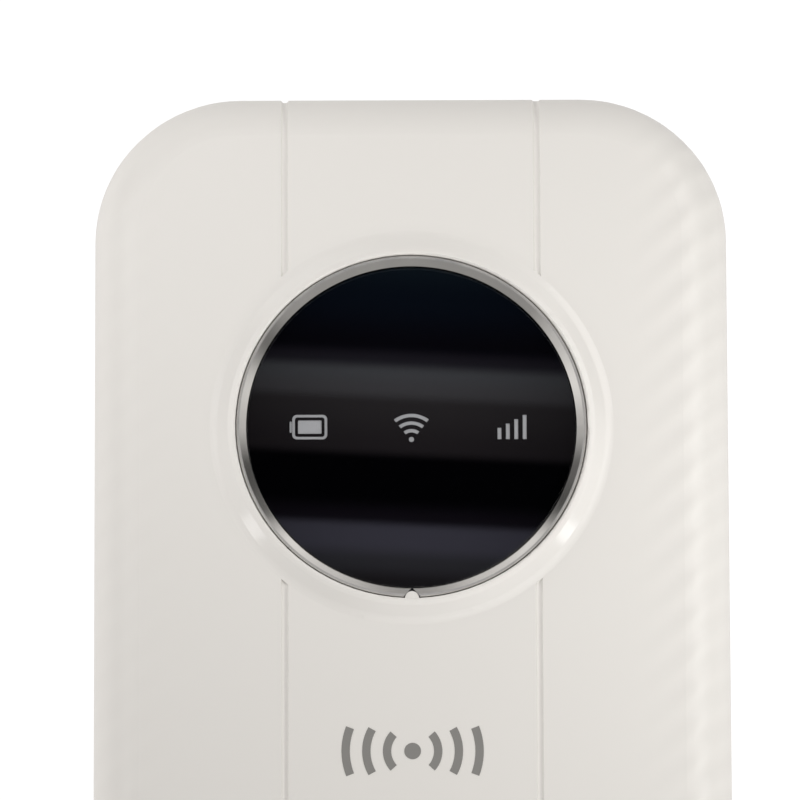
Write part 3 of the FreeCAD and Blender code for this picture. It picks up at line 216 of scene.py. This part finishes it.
class Shader:
    """One procedural material, built from small node steps that read the object's own coordinates."""

    def __init__(self, name, color=(0.8, 0.8, 0.8), roughness=0.4, metallic=0.0, **more):
        self.material = bpy.data.materials.new(name)
        self.material.use_nodes = True
        self.tree = self.material.node_tree
        self.tree.nodes.clear()
        self.output = self.tree.nodes.new("ShaderNodeOutputMaterial")
        self.surface = self.tree.nodes.new("ShaderNodeBsdfPrincipled")
        self.tree.links.new(self.surface.outputs["BSDF"], self.output.inputs["Surface"])
        self.place = self.tree.nodes.new("ShaderNodeTexCoord").outputs["Object"]
        self.bumps = []
        self.set("Base Color", color)
        self.set("Roughness", roughness)
        self.set("Metallic", metallic)
        for socket, value in more.items():
            self.set(socket.replace("_", " "), value)

    def set(self, socket, value):
        put(self.tree, self.surface.inputs[socket], value)
        return self

    def node(self, kind, *values, **named):
        """Add a node; values fill its inputs in order, named ones by name, lower case sets a property."""
        item = self.tree.nodes.new(kind)
        for key, value in named.items():
            if key[0].islower():
                setattr(item, key, value)
            else:
                put(self.tree, item.inputs[key.replace("_", " ")], value)
        for socket, value in zip(item.inputs, values):
            put(self.tree, socket, value)
        return item

    def math(self, operation, *values):
        return math_node(self.tree, operation, *values)

    def axes(self):
        """X, Y and Z in metres."""
        split = self.node("ShaderNodeSeparateXYZ", self.place)
        return split.outputs[0], split.outputs[1], split.outputs[2]

    def distance_from(self, node):
        """Distance along the face from the middle of a CAD node."""
        low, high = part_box(node)
        x, y, _ = self.axes()
        dx = self.math("SUBTRACT", x, (low.x + high.x) / 2)
        dy = self.math("SUBTRACT", y, (low.y + high.y) / 2)
        square = self.math("ADD", self.math("MULTIPLY", dx, dx), self.math("MULTIPLY", dy, dy))
        return self.math("SQRT", square)

    def noise(self, size, detail=2.0, stretch=(1, 1, 1)):
        """Noise from 0 to 1, features about `size` metres across, longer where `stretch` is below 1."""
        scale = self.node("ShaderNodeMapping", Vector=self.place, Scale=[s / size for s in stretch])
        return self.node("ShaderNodeTexNoise", Vector=scale.outputs[0], Scale=1.0, Detail=detail).outputs[0]

    def cells(self, size):
        """Distance to the nearest of scattered points about `size` metres apart; 1 stands for `size`."""
        scale = self.node("ShaderNodeMapping", Vector=self.place, Scale=[1 / size] * 3)
        cell = self.node("ShaderNodeTexVoronoi", Vector=scale.outputs[0], Scale=1.0)
        return cell.outputs["Distance"]

    def span(self, value, low, high, to_low=0.0, to_high=1.0, smooth=False):
        """Map low..high to to_low..to_high and hold the ends."""
        step = self.node("ShaderNodeMapRange", interpolation_type="SMOOTHSTEP" if smooth else "LINEAR")
        for key, item in (("Value", value), ("From Min", low), ("From Max", high),
                          ("To Min", to_low), ("To Max", to_high)):
            put(self.tree, step.inputs[key], item)
        return step.outputs[0]

    def mix(self, factor, first, second):
        """Blend two colours."""
        blend = self.node("ShaderNodeMix", data_type="RGBA")
        for index, value in zip((0, *MIX_COLORS), (factor, first, second)):
            put(self.tree, blend.inputs[index], value)
        return blend.outputs[2]

    def bump(self, height, depth):
        """Relief: height 0 to 1 stands for `depth` metres."""
        item = self.node("ShaderNodeBump", Strength=1.0, Distance=depth, Height=height)
        if self.bumps:
            self.tree.links.new(self.bumps[-1], item.inputs["Normal"])
        self.bumps.append(item.outputs[0])
        self.set("Normal", item.outputs[0])
        return self

    def tone(self, color, size, amount):
        """Base colour with slow light and dark patches."""
        dark = tuple(c * (1 - amount) for c in color)
        light = tuple(min(1.0, c * (1 + amount)) for c in color)
        return self.set("Base Color", self.mix(self.noise(size, 3.0), dark, light))

    def worn(self, roughness, size, amount):
        """Roughness that wanders by `amount` to either side."""
        grain = self.noise(size, 4.0)
        return self.set("Roughness", self.span(grain, *NOISE_MIDDLE, roughness - amount, roughness + amount))


# ---------------------------------------------------------------- materials

def case_plastic(name, ribs=False):
    """Warm white moulded plastic: satin with a very fine grain, polished around the display; with ribs,
    their relief is also painted in as light and shade.
    """
    look = Shader(name, Coat_Roughness=0.10, IOR=1.45)
    x, y, z = look.axes()
    near_display = look.span(look.distance_from("display_lens"), *POLISH_EDGE, 1, 0, smooth=True)
    on_front = look.math("MULTIPLY", near_display, look.math("GREATER_THAN", z, POLISH_ABOVE))
    look.set("Coat Weight", look.span(on_front, 0, 1, *CASE_COAT))
    dark, light = (0.790, 0.772, 0.743), (0.810, 0.792, 0.761)
    tone_and_rib_shade = look.noise(60 * MM, 3.0)
    look.worn(0.34, 1.5 * MM, 0.04)
    look.bump(look.noise(0.16 * MM, 2.0), 0.0009 * MM)
    if ribs:
        across = look.math("SUBTRACT", look.math("MULTIPLY", y, math.cos(RIB_TILT)),
                           look.math("MULTIPLY", x, math.sin(RIB_TILT)))
        wave = look.math("SINE", look.math("MULTIPLY", across, 2 * math.pi / RIB_PITCH))
        right = look.span(x, *RIB_RIGHT_FADE, 0, 1, smooth=True)
        left = look.span(look.math("MULTIPLY", x, -1), *RIB_LEFT_FADE, 0, RIB_LEFT, smooth=True)
        fade = look.math("ADD", right, left)
        fade = look.math("MULTIPLY", fade, look.math("GREATER_THAN", z, RIB_ABOVE))
        relief = look.math("MULTIPLY", wave, fade)
        look.bump(relief, RIB_DEPTH)
        # on top of the random tone, the rib crests are painted lighter and the troughs darker: painted shade
        # of the relief
        tone_and_rib_shade = look.math("MULTIPLY_ADD", relief, RIB_PAINTED_SHADE, tone_and_rib_shade)
    look.set("Base Color", look.mix(tone_and_rib_shade, dark, light))
    return look.material


def silver_trim():
    """Vacuum-plated ring: bright, with faint unevenness of tone, polish and level."""
    look = Shader("trim_silver", metallic=1.0)
    look.tone((0.62, 0.61, 0.59), 5 * MM, 0.05)
    look.worn(0.15, 2.5 * MM, 0.03)
    look.bump(look.noise(0.9 * MM, 1.0), 0.003 * MM)
    return look.material


def lens_window():
    """Clear hard-coated window: mirrors a little, lets the print below show and light through."""
    look = Shader("lens_clear")
    tree = look.tree
    tree.nodes.remove(look.surface)
    # only the faces where light enters mirror, so that the icons also show at a slant
    fresnel = look.node("ShaderNodeFresnel", IOR=1.55).outputs[0]
    entering = look.math("SUBTRACT", 1.0, look.node("ShaderNodeNewGeometry").outputs["Backfacing"])
    through = look.node("ShaderNodeBsdfTransparent", Color=(0.93, 0.935, 0.95))
    smear = look.noise(9 * MM, 3.0)
    mirror = look.node("ShaderNodeBsdfGlossy", Color=(1, 1, 1),
                       Roughness=look.span(smear, *NOISE_MIDDLE, 0.004, 0.014))
    both = look.node("ShaderNodeMixShader", look.math("MULTIPLY", fresnel, entering),
                     through.outputs[0], mirror.outputs[0])
    tree.links.new(both.outputs[0], look.output.inputs["Surface"])
    return look.material


def plain(name, color, roughness, grain=0.4 * MM, depth=0.002 * MM, metallic=0.0, **more):
    """A moulded, printed or plated finish with tone, wear and grain at a given size."""
    look = Shader(name, metallic=metallic, **more)
    look.tone(color, 30 * grain, 0.04)
    look.worn(roughness, 4 * grain, 0.06)
    look.bump(look.noise(grain, 3.0), depth)
    return look.material


def brushed(name, color, roughness=0.32, along=(1, 0.03, 1)):
    """Brushed metal; its lines run along the axis that has the smallest factor in `along`."""
    look = Shader(name, color, metallic=1.0)
    lines = look.noise(0.08 * MM, 3.0, along)
    look.set("Roughness", look.span(lines, *NOISE_MIDDLE, roughness - 0.08, roughness + 0.08))
    look.bump(lines, 0.002 * MM)
    return look.material


def circuit_board():
    """Green solder mask over copper: tracks stand a little proud and paler, with plated dots."""
    look = Shader("board_green", roughness=0.35, Coat_Weight=0.4, Coat_Roughness=0.2)
    x, y, _ = look.axes()
    pitch = 0.9 * MM

    # tracks run along one axis inside the patches and along the other outside them, with steps aside
    def tracks(axis, inside):
        bend = look.math("ROUND", look.span(look.noise(7 * MM, 0.0), 0, 1, 0, 5))
        shifted = look.math("ADD", axis, look.math("MULTIPLY", bend, 0.3 * MM))
        saw = look.math("FRACT", look.math("DIVIDE", shifted, pitch))
        line = look.span(look.math("ABSOLUTE", look.math("SUBTRACT", saw, 0.5)), 0.14, 0.2, 1, 0)
        patch = look.span(look.noise(9 * MM, 1.0, (1, 1, 0)), 0.5, 0.52)
        return look.math("MULTIPLY", line, patch if inside else look.math("SUBTRACT", 1.0, patch))

    copper = look.math("MAXIMUM", tracks(x, True), tracks(y, False))
    dots = look.span(look.cells(1.9 * MM), 0.14, 0.17, 1, 0)
    mask = look.mix(copper, (0.006, 0.075, 0.034), (0.018, 0.16, 0.07))
    look.set("Base Color", look.mix(dots, mask, (0.70, 0.52, 0.22)))
    look.set("Metallic", dots)
    look.bump(copper, 0.02 * MM)
    return look.material


def capacitor_ends():
    """Tan ceramic with tinned ends; the parts repeat along X."""
    look = Shader("capacitor_tan", roughness=0.45)
    x, _, _ = look.axes()
    low, _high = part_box("capacitors")
    along = look.math("SUBTRACT", x, low.x - CAPACITOR_START)
    step = look.math("FRACT", look.math("DIVIDE", along, CAPACITOR_PITCH))
    middle = look.math("ABSOLUTE", look.math("SUBTRACT", step, CAPACITOR_MIDDLE))
    tinned = look.span(middle, *CAPACITOR_CERAMIC)
    look.set("Base Color", look.mix(tinned, (0.42, 0.29, 0.19), (0.72, 0.72, 0.70)))
    look.set("Metallic", tinned)
    look.bump(look.noise(0.1 * MM), 0.003 * MM)
    return look.material


def battery_film():
    """Dark heat-shrunk film: soft long wrinkles and a faint weave of the foil under it."""
    look = Shader("battery_wrap", roughness=0.3, Coat_Weight=0.3, Coat_Roughness=0.25)
    look.tone((0.075, 0.077, 0.085), 20 * MM, 0.12)
    look.bump(look.noise(6 * MM, 3.0, (1, 0.35, 1)), 0.05 * MM)
    look.bump(look.noise(0.25 * MM, 2.0), 0.003 * MM)
    return look.material


def blank_label():
    """Label stock with no print, only a faint frame line."""
    look = Shader("blank_label", roughness=0.5)
    inset = 2 * MM
    half_line = (0.1 * MM, 0.18 * MM)
    low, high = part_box("battery_label")
    centre, half = (low + high) / 2, (high - low) / 2
    x, y, _ = look.axes()
    edge_x = look.math("SUBTRACT", half.x, look.math("ABSOLUTE", look.math("SUBTRACT", x, centre.x)))
    edge_y = look.math("SUBTRACT", half.y, look.math("ABSOLUTE", look.math("SUBTRACT", y, centre.y)))
    edge = look.math("MINIMUM", edge_x, edge_y)
    line = look.span(look.math("ABSOLUTE", look.math("SUBTRACT", edge, inset)), *half_line, 1, 0)
    look.set("Base Color", look.mix(line, (0.80, 0.80, 0.77), (0.38, 0.38, 0.38)))
    look.bump(look.noise(0.3 * MM), 0.004 * MM)
    return look.material


def aerial_film():
    """Amber film over copper with a fine hatch."""
    look = Shader("copper_film", roughness=0.35, Coat_Weight=0.5)
    x, y, _ = look.axes()
    pitch = 0.5 * MM
    hatch = look.math("SINE", look.math("MULTIPLY", look.math("ADD", x, y), 2 * math.pi / pitch))
    look.set("Base Color", look.mix(look.span(hatch, 0.2, 0.5), (0.40, 0.20, 0.06), (0.58, 0.32, 0.12)))
    look.set("Metallic", 0.4)
    look.bump(hatch, 0.006 * MM)
    return look.material


def diffuser_film_with_painted_glow():
    """Frosted grey film that the icons show, unlit; a faint painted glow brightens it, standing in for the
    light that reaches it through the lens.
    """
    look = Shader("diffuser_grey", roughness=0.5, Specular_IOR_Level=0.0)
    look.tone((0.44, 0.44, 0.435), 3 * MM, 0.04)
    # a faint glow of its own, though the film is no lamp: painted light that brightens the icons
    look.set("Emission Color", (1.0, 1.0, 0.99)).set("Emission Strength", 0.066)
    look.bump(look.noise(0.06 * MM), 0.001 * MM)
    return look.material


MATERIALS = {
    "case_white": lambda: case_plastic("case_white", ribs=True),
    "frame_white": lambda: case_plastic("frame_white"),
    "trim_silver": silver_trim,
    "lens_clear": lens_window,
    "mask_black": lambda: plain("mask_black", (0.001, 0.001, 0.0015), 0.35, 0.2 * MM, 0.0005 * MM,
                               Specular_IOR_Level=0.0),
    "diffuser_grey": diffuser_film_with_painted_glow,
    # black adhesive film; the part of it under the trim ring is a dark sheet that stands in for the deep
    # shade in the ring's notch: painted shade
    "adhesive_black": lambda: plain("adhesive_black", (0.02, 0.02, 0.02), 0.8, 0.15 * MM, 0.01 * MM),
    "light_box_white": lambda: plain("light_box_white", (0.80, 0.80, 0.78), 0.5, 0.3 * MM),
    "led_resin": lambda: plain("led_resin", (0.85, 0.72, 0.25), 0.2, 0.2 * MM, Coat_Weight=0.6),
    "mark_grey": lambda: plain("mark_grey", (0.225, 0.22, 0.21), 0.5, 0.12 * MM, 0.003 * MM),
    "steel": lambda: brushed("steel", (0.56, 0.56, 0.57)),
    "battery_wrap": battery_film,
    "battery_end": lambda: plain("battery_end", (0.02, 0.02, 0.022), 0.45, 0.2 * MM, 0.006 * MM),
    "gold_plate": lambda: plain("gold_plate", (0.83, 0.60, 0.24), 0.22, 0.1 * MM, 0.001 * MM, 1.0),
    "blank_label": blank_label,
    "black_plastic": lambda: plain("black_plastic", (0.022, 0.022, 0.025), 0.42, 0.15 * MM, 0.006 * MM),
    "board_green": circuit_board,
    "tin_plate": lambda: brushed("tin_plate", (0.68, 0.67, 0.65), 0.28, (0.04, 1, 1)),
    "chip_black": lambda: plain("chip_black", (0.028, 0.028, 0.031), 0.5, 0.08 * MM, 0.004 * MM),
    "capacitor_tan": capacitor_ends,
    "ferrite_grey": lambda: plain("ferrite_grey", (0.08, 0.08, 0.09), 0.55, 0.12 * MM, 0.008 * MM),
    "card_white": lambda: plain("card_white", (0.78, 0.80, 0.83), 0.35, 0.3 * MM, 0.002 * MM),
    "copper_film": aerial_film,
    "graphite": lambda: plain("graphite", (0.06, 0.06, 0.065), 0.38, 0.25 * MM, 0.006 * MM, 0.3),
    "gap_pad": lambda: plain("gap_pad", (0.34, 0.45, 0.58), 0.7, 0.5 * MM, 0.02 * MM),
}


def dress():
    """Give every CAD node its slot's material."""
    made = {slot: make() for slot, make in MATERIALS.items()}
    for entry in frame["record"]["subparts"]:
        mesh = frame["nodes"][entry["node"]].data
        mesh.materials.clear()
        mesh.materials.append(made[entry["material_slot"]])


# ---------------------------------------------------------------- stage

def node_tree(block):
    """The block's own node tree, emptied."""
    block.use_nodes = True
    block.node_tree.nodes.clear()
    return block.node_tree


def split_for_camera(tree, seen, lit, target):
    """The camera sees one shader, every other ray meets the other."""
    path = tree.nodes.new("ShaderNodeLightPath")
    blend = tree.nodes.new("ShaderNodeMixShader")
    tree.links.new(path.outputs["Is Camera Ray"], blend.inputs[0])
    tree.links.new(lit.outputs[0], blend.inputs[1])
    tree.links.new(seen.outputs[0], blend.inputs[2])
    tree.links.new(blend.outputs[0], target)


def fill_ramp(ramp, stops):
    """Set a colour ramp from (position, colour) stops that run from 0 to 1."""
    items = ramp.color_ramp.elements
    items[0].position = stops[0][0]
    items[1].position = stops[-1][0]
    for position, _color in stops[1:-1]:
        items.new(position)
    for item, (_position, color) in zip(items, stops):
        item.color = (*color, 1)


def card_from(name, outline):
    """A flat piece of the set from its outline, level at the origin."""
    mesh = bpy.data.meshes.new(name)
    mesh.from_pydata([(x, y, 0) for x, y in outline], [], [tuple(range(len(outline)))])
    card = bpy.data.objects.new(name, mesh)
    bpy.context.scene.collection.objects.link(card)
    return card


def sheet(name, width, depth):
    x, y = width / 2, depth / 2
    return card_from(name, [(-x, -y), (x, -y), (x, y), (-x, y)])


def disc(name, radius, corners=96):
    turns = [2 * math.pi * i / corners for i in range(corners)]
    return card_from(name, [(radius * math.cos(turn), radius * math.sin(turn)) for turn in turns])


def floor():
    """Pale table: the camera sees it nearly white with a weak shadow; other rays meet a soft glow."""
    table = sheet("floor", FLOOR_SIZE, FLOOR_SIZE)
    table.location.z = cad_low.z - FLOOR_DROP
    material = bpy.data.materials.new("floor_pale")
    tree = node_tree(material)
    output = tree.nodes.new("ShaderNodeOutputMaterial")
    glow = tree.nodes.new("ShaderNodeEmission")
    glow.inputs["Strength"].default_value = FLOOR_GLOW
    matt = tree.nodes.new("ShaderNodeBsdfDiffuse")
    matt.inputs["Color"].default_value = (*FLOOR_SHADE, 1)
    seen = tree.nodes.new("ShaderNodeAddShader")
    tree.links.new(glow.outputs[0], seen.inputs[0])
    tree.links.new(matt.outputs[0], seen.inputs[1])
    bounce = tree.nodes.new("ShaderNodeEmission")
    bounce.inputs["Color"].default_value = (*ROOM_TINT, 1)
    bounce.inputs["Strength"].default_value = FLOOR_BOUNCE
    split_for_camera(tree, seen, bounce, output.inputs["Surface"])
    table.data.materials.append(material)


def world():
    """A soft room, darker overhead and a little darker to the right and beyond the top end.

    Shiny faces mirror a varied room in its place, and the camera sees plain white.
    """
    sky = bpy.data.worlds.new("studio")
    bpy.context.scene.world = sky
    tree = node_tree(sky)
    output = tree.nodes.new("ShaderNodeOutputWorld")
    place = tree.nodes.new("ShaderNodeTexCoord")
    split = tree.nodes.new("ShaderNodeSeparateXYZ")
    tree.links.new(place.outputs["Generated"], split.inputs[0])
    x, y, z = split.outputs
    strength = ROOM_BASE
    for axis, slope in zip((x, y, z), ROOM_SLOPES):
        strength = math_node(tree, "MULTIPLY_ADD", axis, slope, strength)

    def levels_around(along_x, along_y, stops):
        turn = math_node(tree, "DIVIDE", math_node(tree, "ARCTAN2", along_y, along_x), 2 * math.pi)
        ramp = tree.nodes.new("ShaderNodeValToRGB")
        ramp.color_ramp.interpolation = "EASE"
        tree.links.new(math_node(tree, "FRACT", math_node(tree, "ADD", turn, 1.0)), ramp.inputs[0])
        fill_ramp(ramp, [(turns, (level, level, level)) for turns, level in stops])
        return ramp.outputs[0]

    def step(value, low, high):
        ease = tree.nodes.new("ShaderNodeMapRange")
        ease.interpolation_type = "SMOOTHSTEP"
        ease.inputs["From Min"].default_value = low
        ease.inputs["From Max"].default_value = high
        tree.links.new(value, ease.inputs["Value"])
        return ease.outputs[0]

    def choose(factor, first, second):
        choice = tree.nodes.new("ShaderNodeMix")
        for index, value in zip((0, *MIX_NUMBERS), (factor, first, second)):
            put(tree, choice.inputs[index], value)
        return choice.outputs[0]

    aside = math_node(tree, "SUBTRACT", y, MIRROR_SPOT_Y)
    square = math_node(tree, "MULTIPLY_ADD", x, x, math_node(tree, "MULTIPLY", aside, aside))
    from_spot = step(math_node(tree, "SQRT", square), *MIRROR_SPOT_FADE)
    ceiling = choose(from_spot, MIRROR_OVERHEAD, levels_around(x, aside, MIRROR_CEILING))
    is_ceiling = step(z, *MIRROR_CEILING_HEIGHT)
    mirrored = choose(is_ceiling, levels_around(x, y, MIRROR_AROUND), ceiling)
    is_mirrored = tree.nodes.new("ShaderNodeLightPath").outputs["Is Glossy Ray"]
    lit = tree.nodes.new("ShaderNodeBackground")
    lit.inputs["Color"].default_value = (*ROOM_TINT, 1)
    tree.links.new(choose(is_mirrored, strength, mirrored), lit.inputs["Strength"])
    seen = tree.nodes.new("ShaderNodeBackground")
    seen.inputs["Color"].default_value = (1, 1, 1, 1)
    seen.inputs["Strength"].default_value = BACKDROP
    split_for_camera(tree, seen, lit, output.inputs["Surface"])


def aim(item, target):
    """Turn an object so that its -Z points at the target."""
    direction = Vector(target) - item.location
    item.rotation_mode = "QUATERNION"
    item.rotation_quaternion = direction.to_track_quat("-Z", "Y")


def lamp(name, place, power, color):
    """A square soft lamp that lights the case, but that shiny faces do not mirror."""
    light = bpy.data.lights.new(name, "AREA")
    light.shape = "SQUARE"
    light.size = LAMP_SIDE
    light.energy = power
    light.color = color
    item = bpy.data.objects.new(name, light)
    bpy.context.scene.collection.objects.link(item)
    item.location = Vector(place)
    aim(item, (0, 0, 0))
    item.visible_glossy = False


def camera():
    """Place the camera; give the display's centre and the direction that the camera stands in."""
    lens_low, lens_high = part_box("display_lens")
    display = Vector(((lens_low.x + lens_high.x) / 2, (lens_low.y + lens_high.y) / 2, lens_high.z))
    right = Vector((1, 0, 0))
    back = Vector((0, -math.sin(CAMERA_OFF_NORMAL), math.cos(CAMERA_OFF_NORMAL)))
    up = Vector((0, math.cos(CAMERA_OFF_NORMAL), math.sin(CAMERA_OFF_NORMAL)))
    centre = display - right * DISPLAY_RIGHT * FRAME_WIDTH + up * DISPLAY_BELOW * FRAME_WIDTH
    lens = bpy.data.cameras.new("camera")
    lens.sensor_width = SENSOR_WIDTH
    lens.lens = SENSOR_WIDTH * CAMERA_DISTANCE / FRAME_WIDTH
    lens.clip_end = 100
    item = bpy.data.objects.new("camera", lens)
    bpy.context.scene.collection.objects.link(item)
    item.location = centre + back * CAMERA_DISTANCE
    item.rotation_mode = "QUATERNION"
    level = Matrix((right, up, back)).transposed().to_quaternion()
    item.rotation_quaternion = level @ Quaternion((0, 0, 1), CAMERA_ROLL)
    bpy.context.scene.camera = item
    return display, back


def glossy_only(item):
    """Seen in reflections, but neither by the camera nor as a source of light on matt surfaces."""
    item.visible_camera = False
    item.visible_diffuse = False
    item.visible_transmission = False
    item.visible_shadow = False


def lens_reflection(display, back):
    """Dim banded card where the display mirrors it for the camera: what stands around the set."""
    mirrored = Vector((-back.x, -back.y, back.z))
    lens_low, lens_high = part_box("display_lens")
    reach = (lens_high.y - lens_low.y) / 2 * (1 + BAND_CARD_DISTANCE / CAMERA_DISTANCE)
    card = disc("reflection_card", BAND_CARD_MARGIN * reach)
    card.location = display + mirrored * BAND_CARD_DISTANCE
    across = Vector((1, 0, 0))
    along = mirrored.cross(across)
    card.rotation_mode = "QUATERNION"
    card.rotation_quaternion = Matrix((across, along, mirrored)).transposed().to_quaternion()
    glossy_only(card)
    material = bpy.data.materials.new("reflection_bands")
    tree = node_tree(material)
    output = tree.nodes.new("ShaderNodeOutputMaterial")
    glow = tree.nodes.new("ShaderNodeEmission")
    tree.links.new(glow.outputs[0], output.inputs["Surface"])
    place = tree.nodes.new("ShaderNodeTexCoord")
    split = tree.nodes.new("ShaderNodeSeparateXYZ")
    tree.links.new(place.outputs["Object"], split.inputs[0])
    # the bands slope down a little to the right
    height = math_node(tree, "MULTIPLY_ADD", split.outputs[0], BAND_SLOPE, split.outputs[1])
    spread = tree.nodes.new("ShaderNodeMapRange")
    spread.inputs["From Min"].default_value = -reach
    spread.inputs["From Max"].default_value = reach
    tree.links.new(height, spread.inputs["Value"])
    ramp = tree.nodes.new("ShaderNodeValToRGB")
    ramp.color_ramp.interpolation = "EASE"
    tree.links.new(spread.outputs[0], ramp.inputs[0])
    tree.links.new(ramp.outputs[0], glow.inputs["Color"])
    # and dim towards both sides
    side = math_node(tree, "DIVIDE", split.outputs[0], reach)
    loss = math_node(tree, "MULTIPLY", math_node(tree, "MULTIPLY", side, side), BAND_SIDE_LOSS)
    strength = math_node(tree, "MULTIPLY", math_node(tree, "SUBTRACT", 1.0, loss), BAND_STRENGTH)
    tree.links.new(strength, glow.inputs["Strength"])
    fill_ramp(ramp, BANDS)
    card.data.materials.append(material)


def gleam(name, display, direction, strength):
    """A small bright card that only shows as a gleam on shiny faces."""
    card = disc(name, GLEAM_RADIUS)
    card.location = display + Vector(direction) * GLEAM_DISTANCE
    aim(card, display)
    glossy_only(card)
    material = bpy.data.materials.new(name)
    tree = node_tree(material)
    output = tree.nodes.new("ShaderNodeOutputMaterial")
    glow = tree.nodes.new("ShaderNodeEmission")
    glow.inputs["Strength"].default_value = strength
    tree.links.new(glow.outputs[0], output.inputs["Surface"])
    card.data.materials.append(material)


def stage():
    """Floor, room, camera, and what lights the object or shows in it."""
    floor()
    world()
    display, back = camera()
    lens_reflection(display, back)
    for values in LAMPS:
        lamp(*values)
    for name, direction, strength in GLEAMS:
        gleam(name, display, direction, strength)
    bpy.context.scene.view_settings.view_transform = "Standard"


dress()
stage()
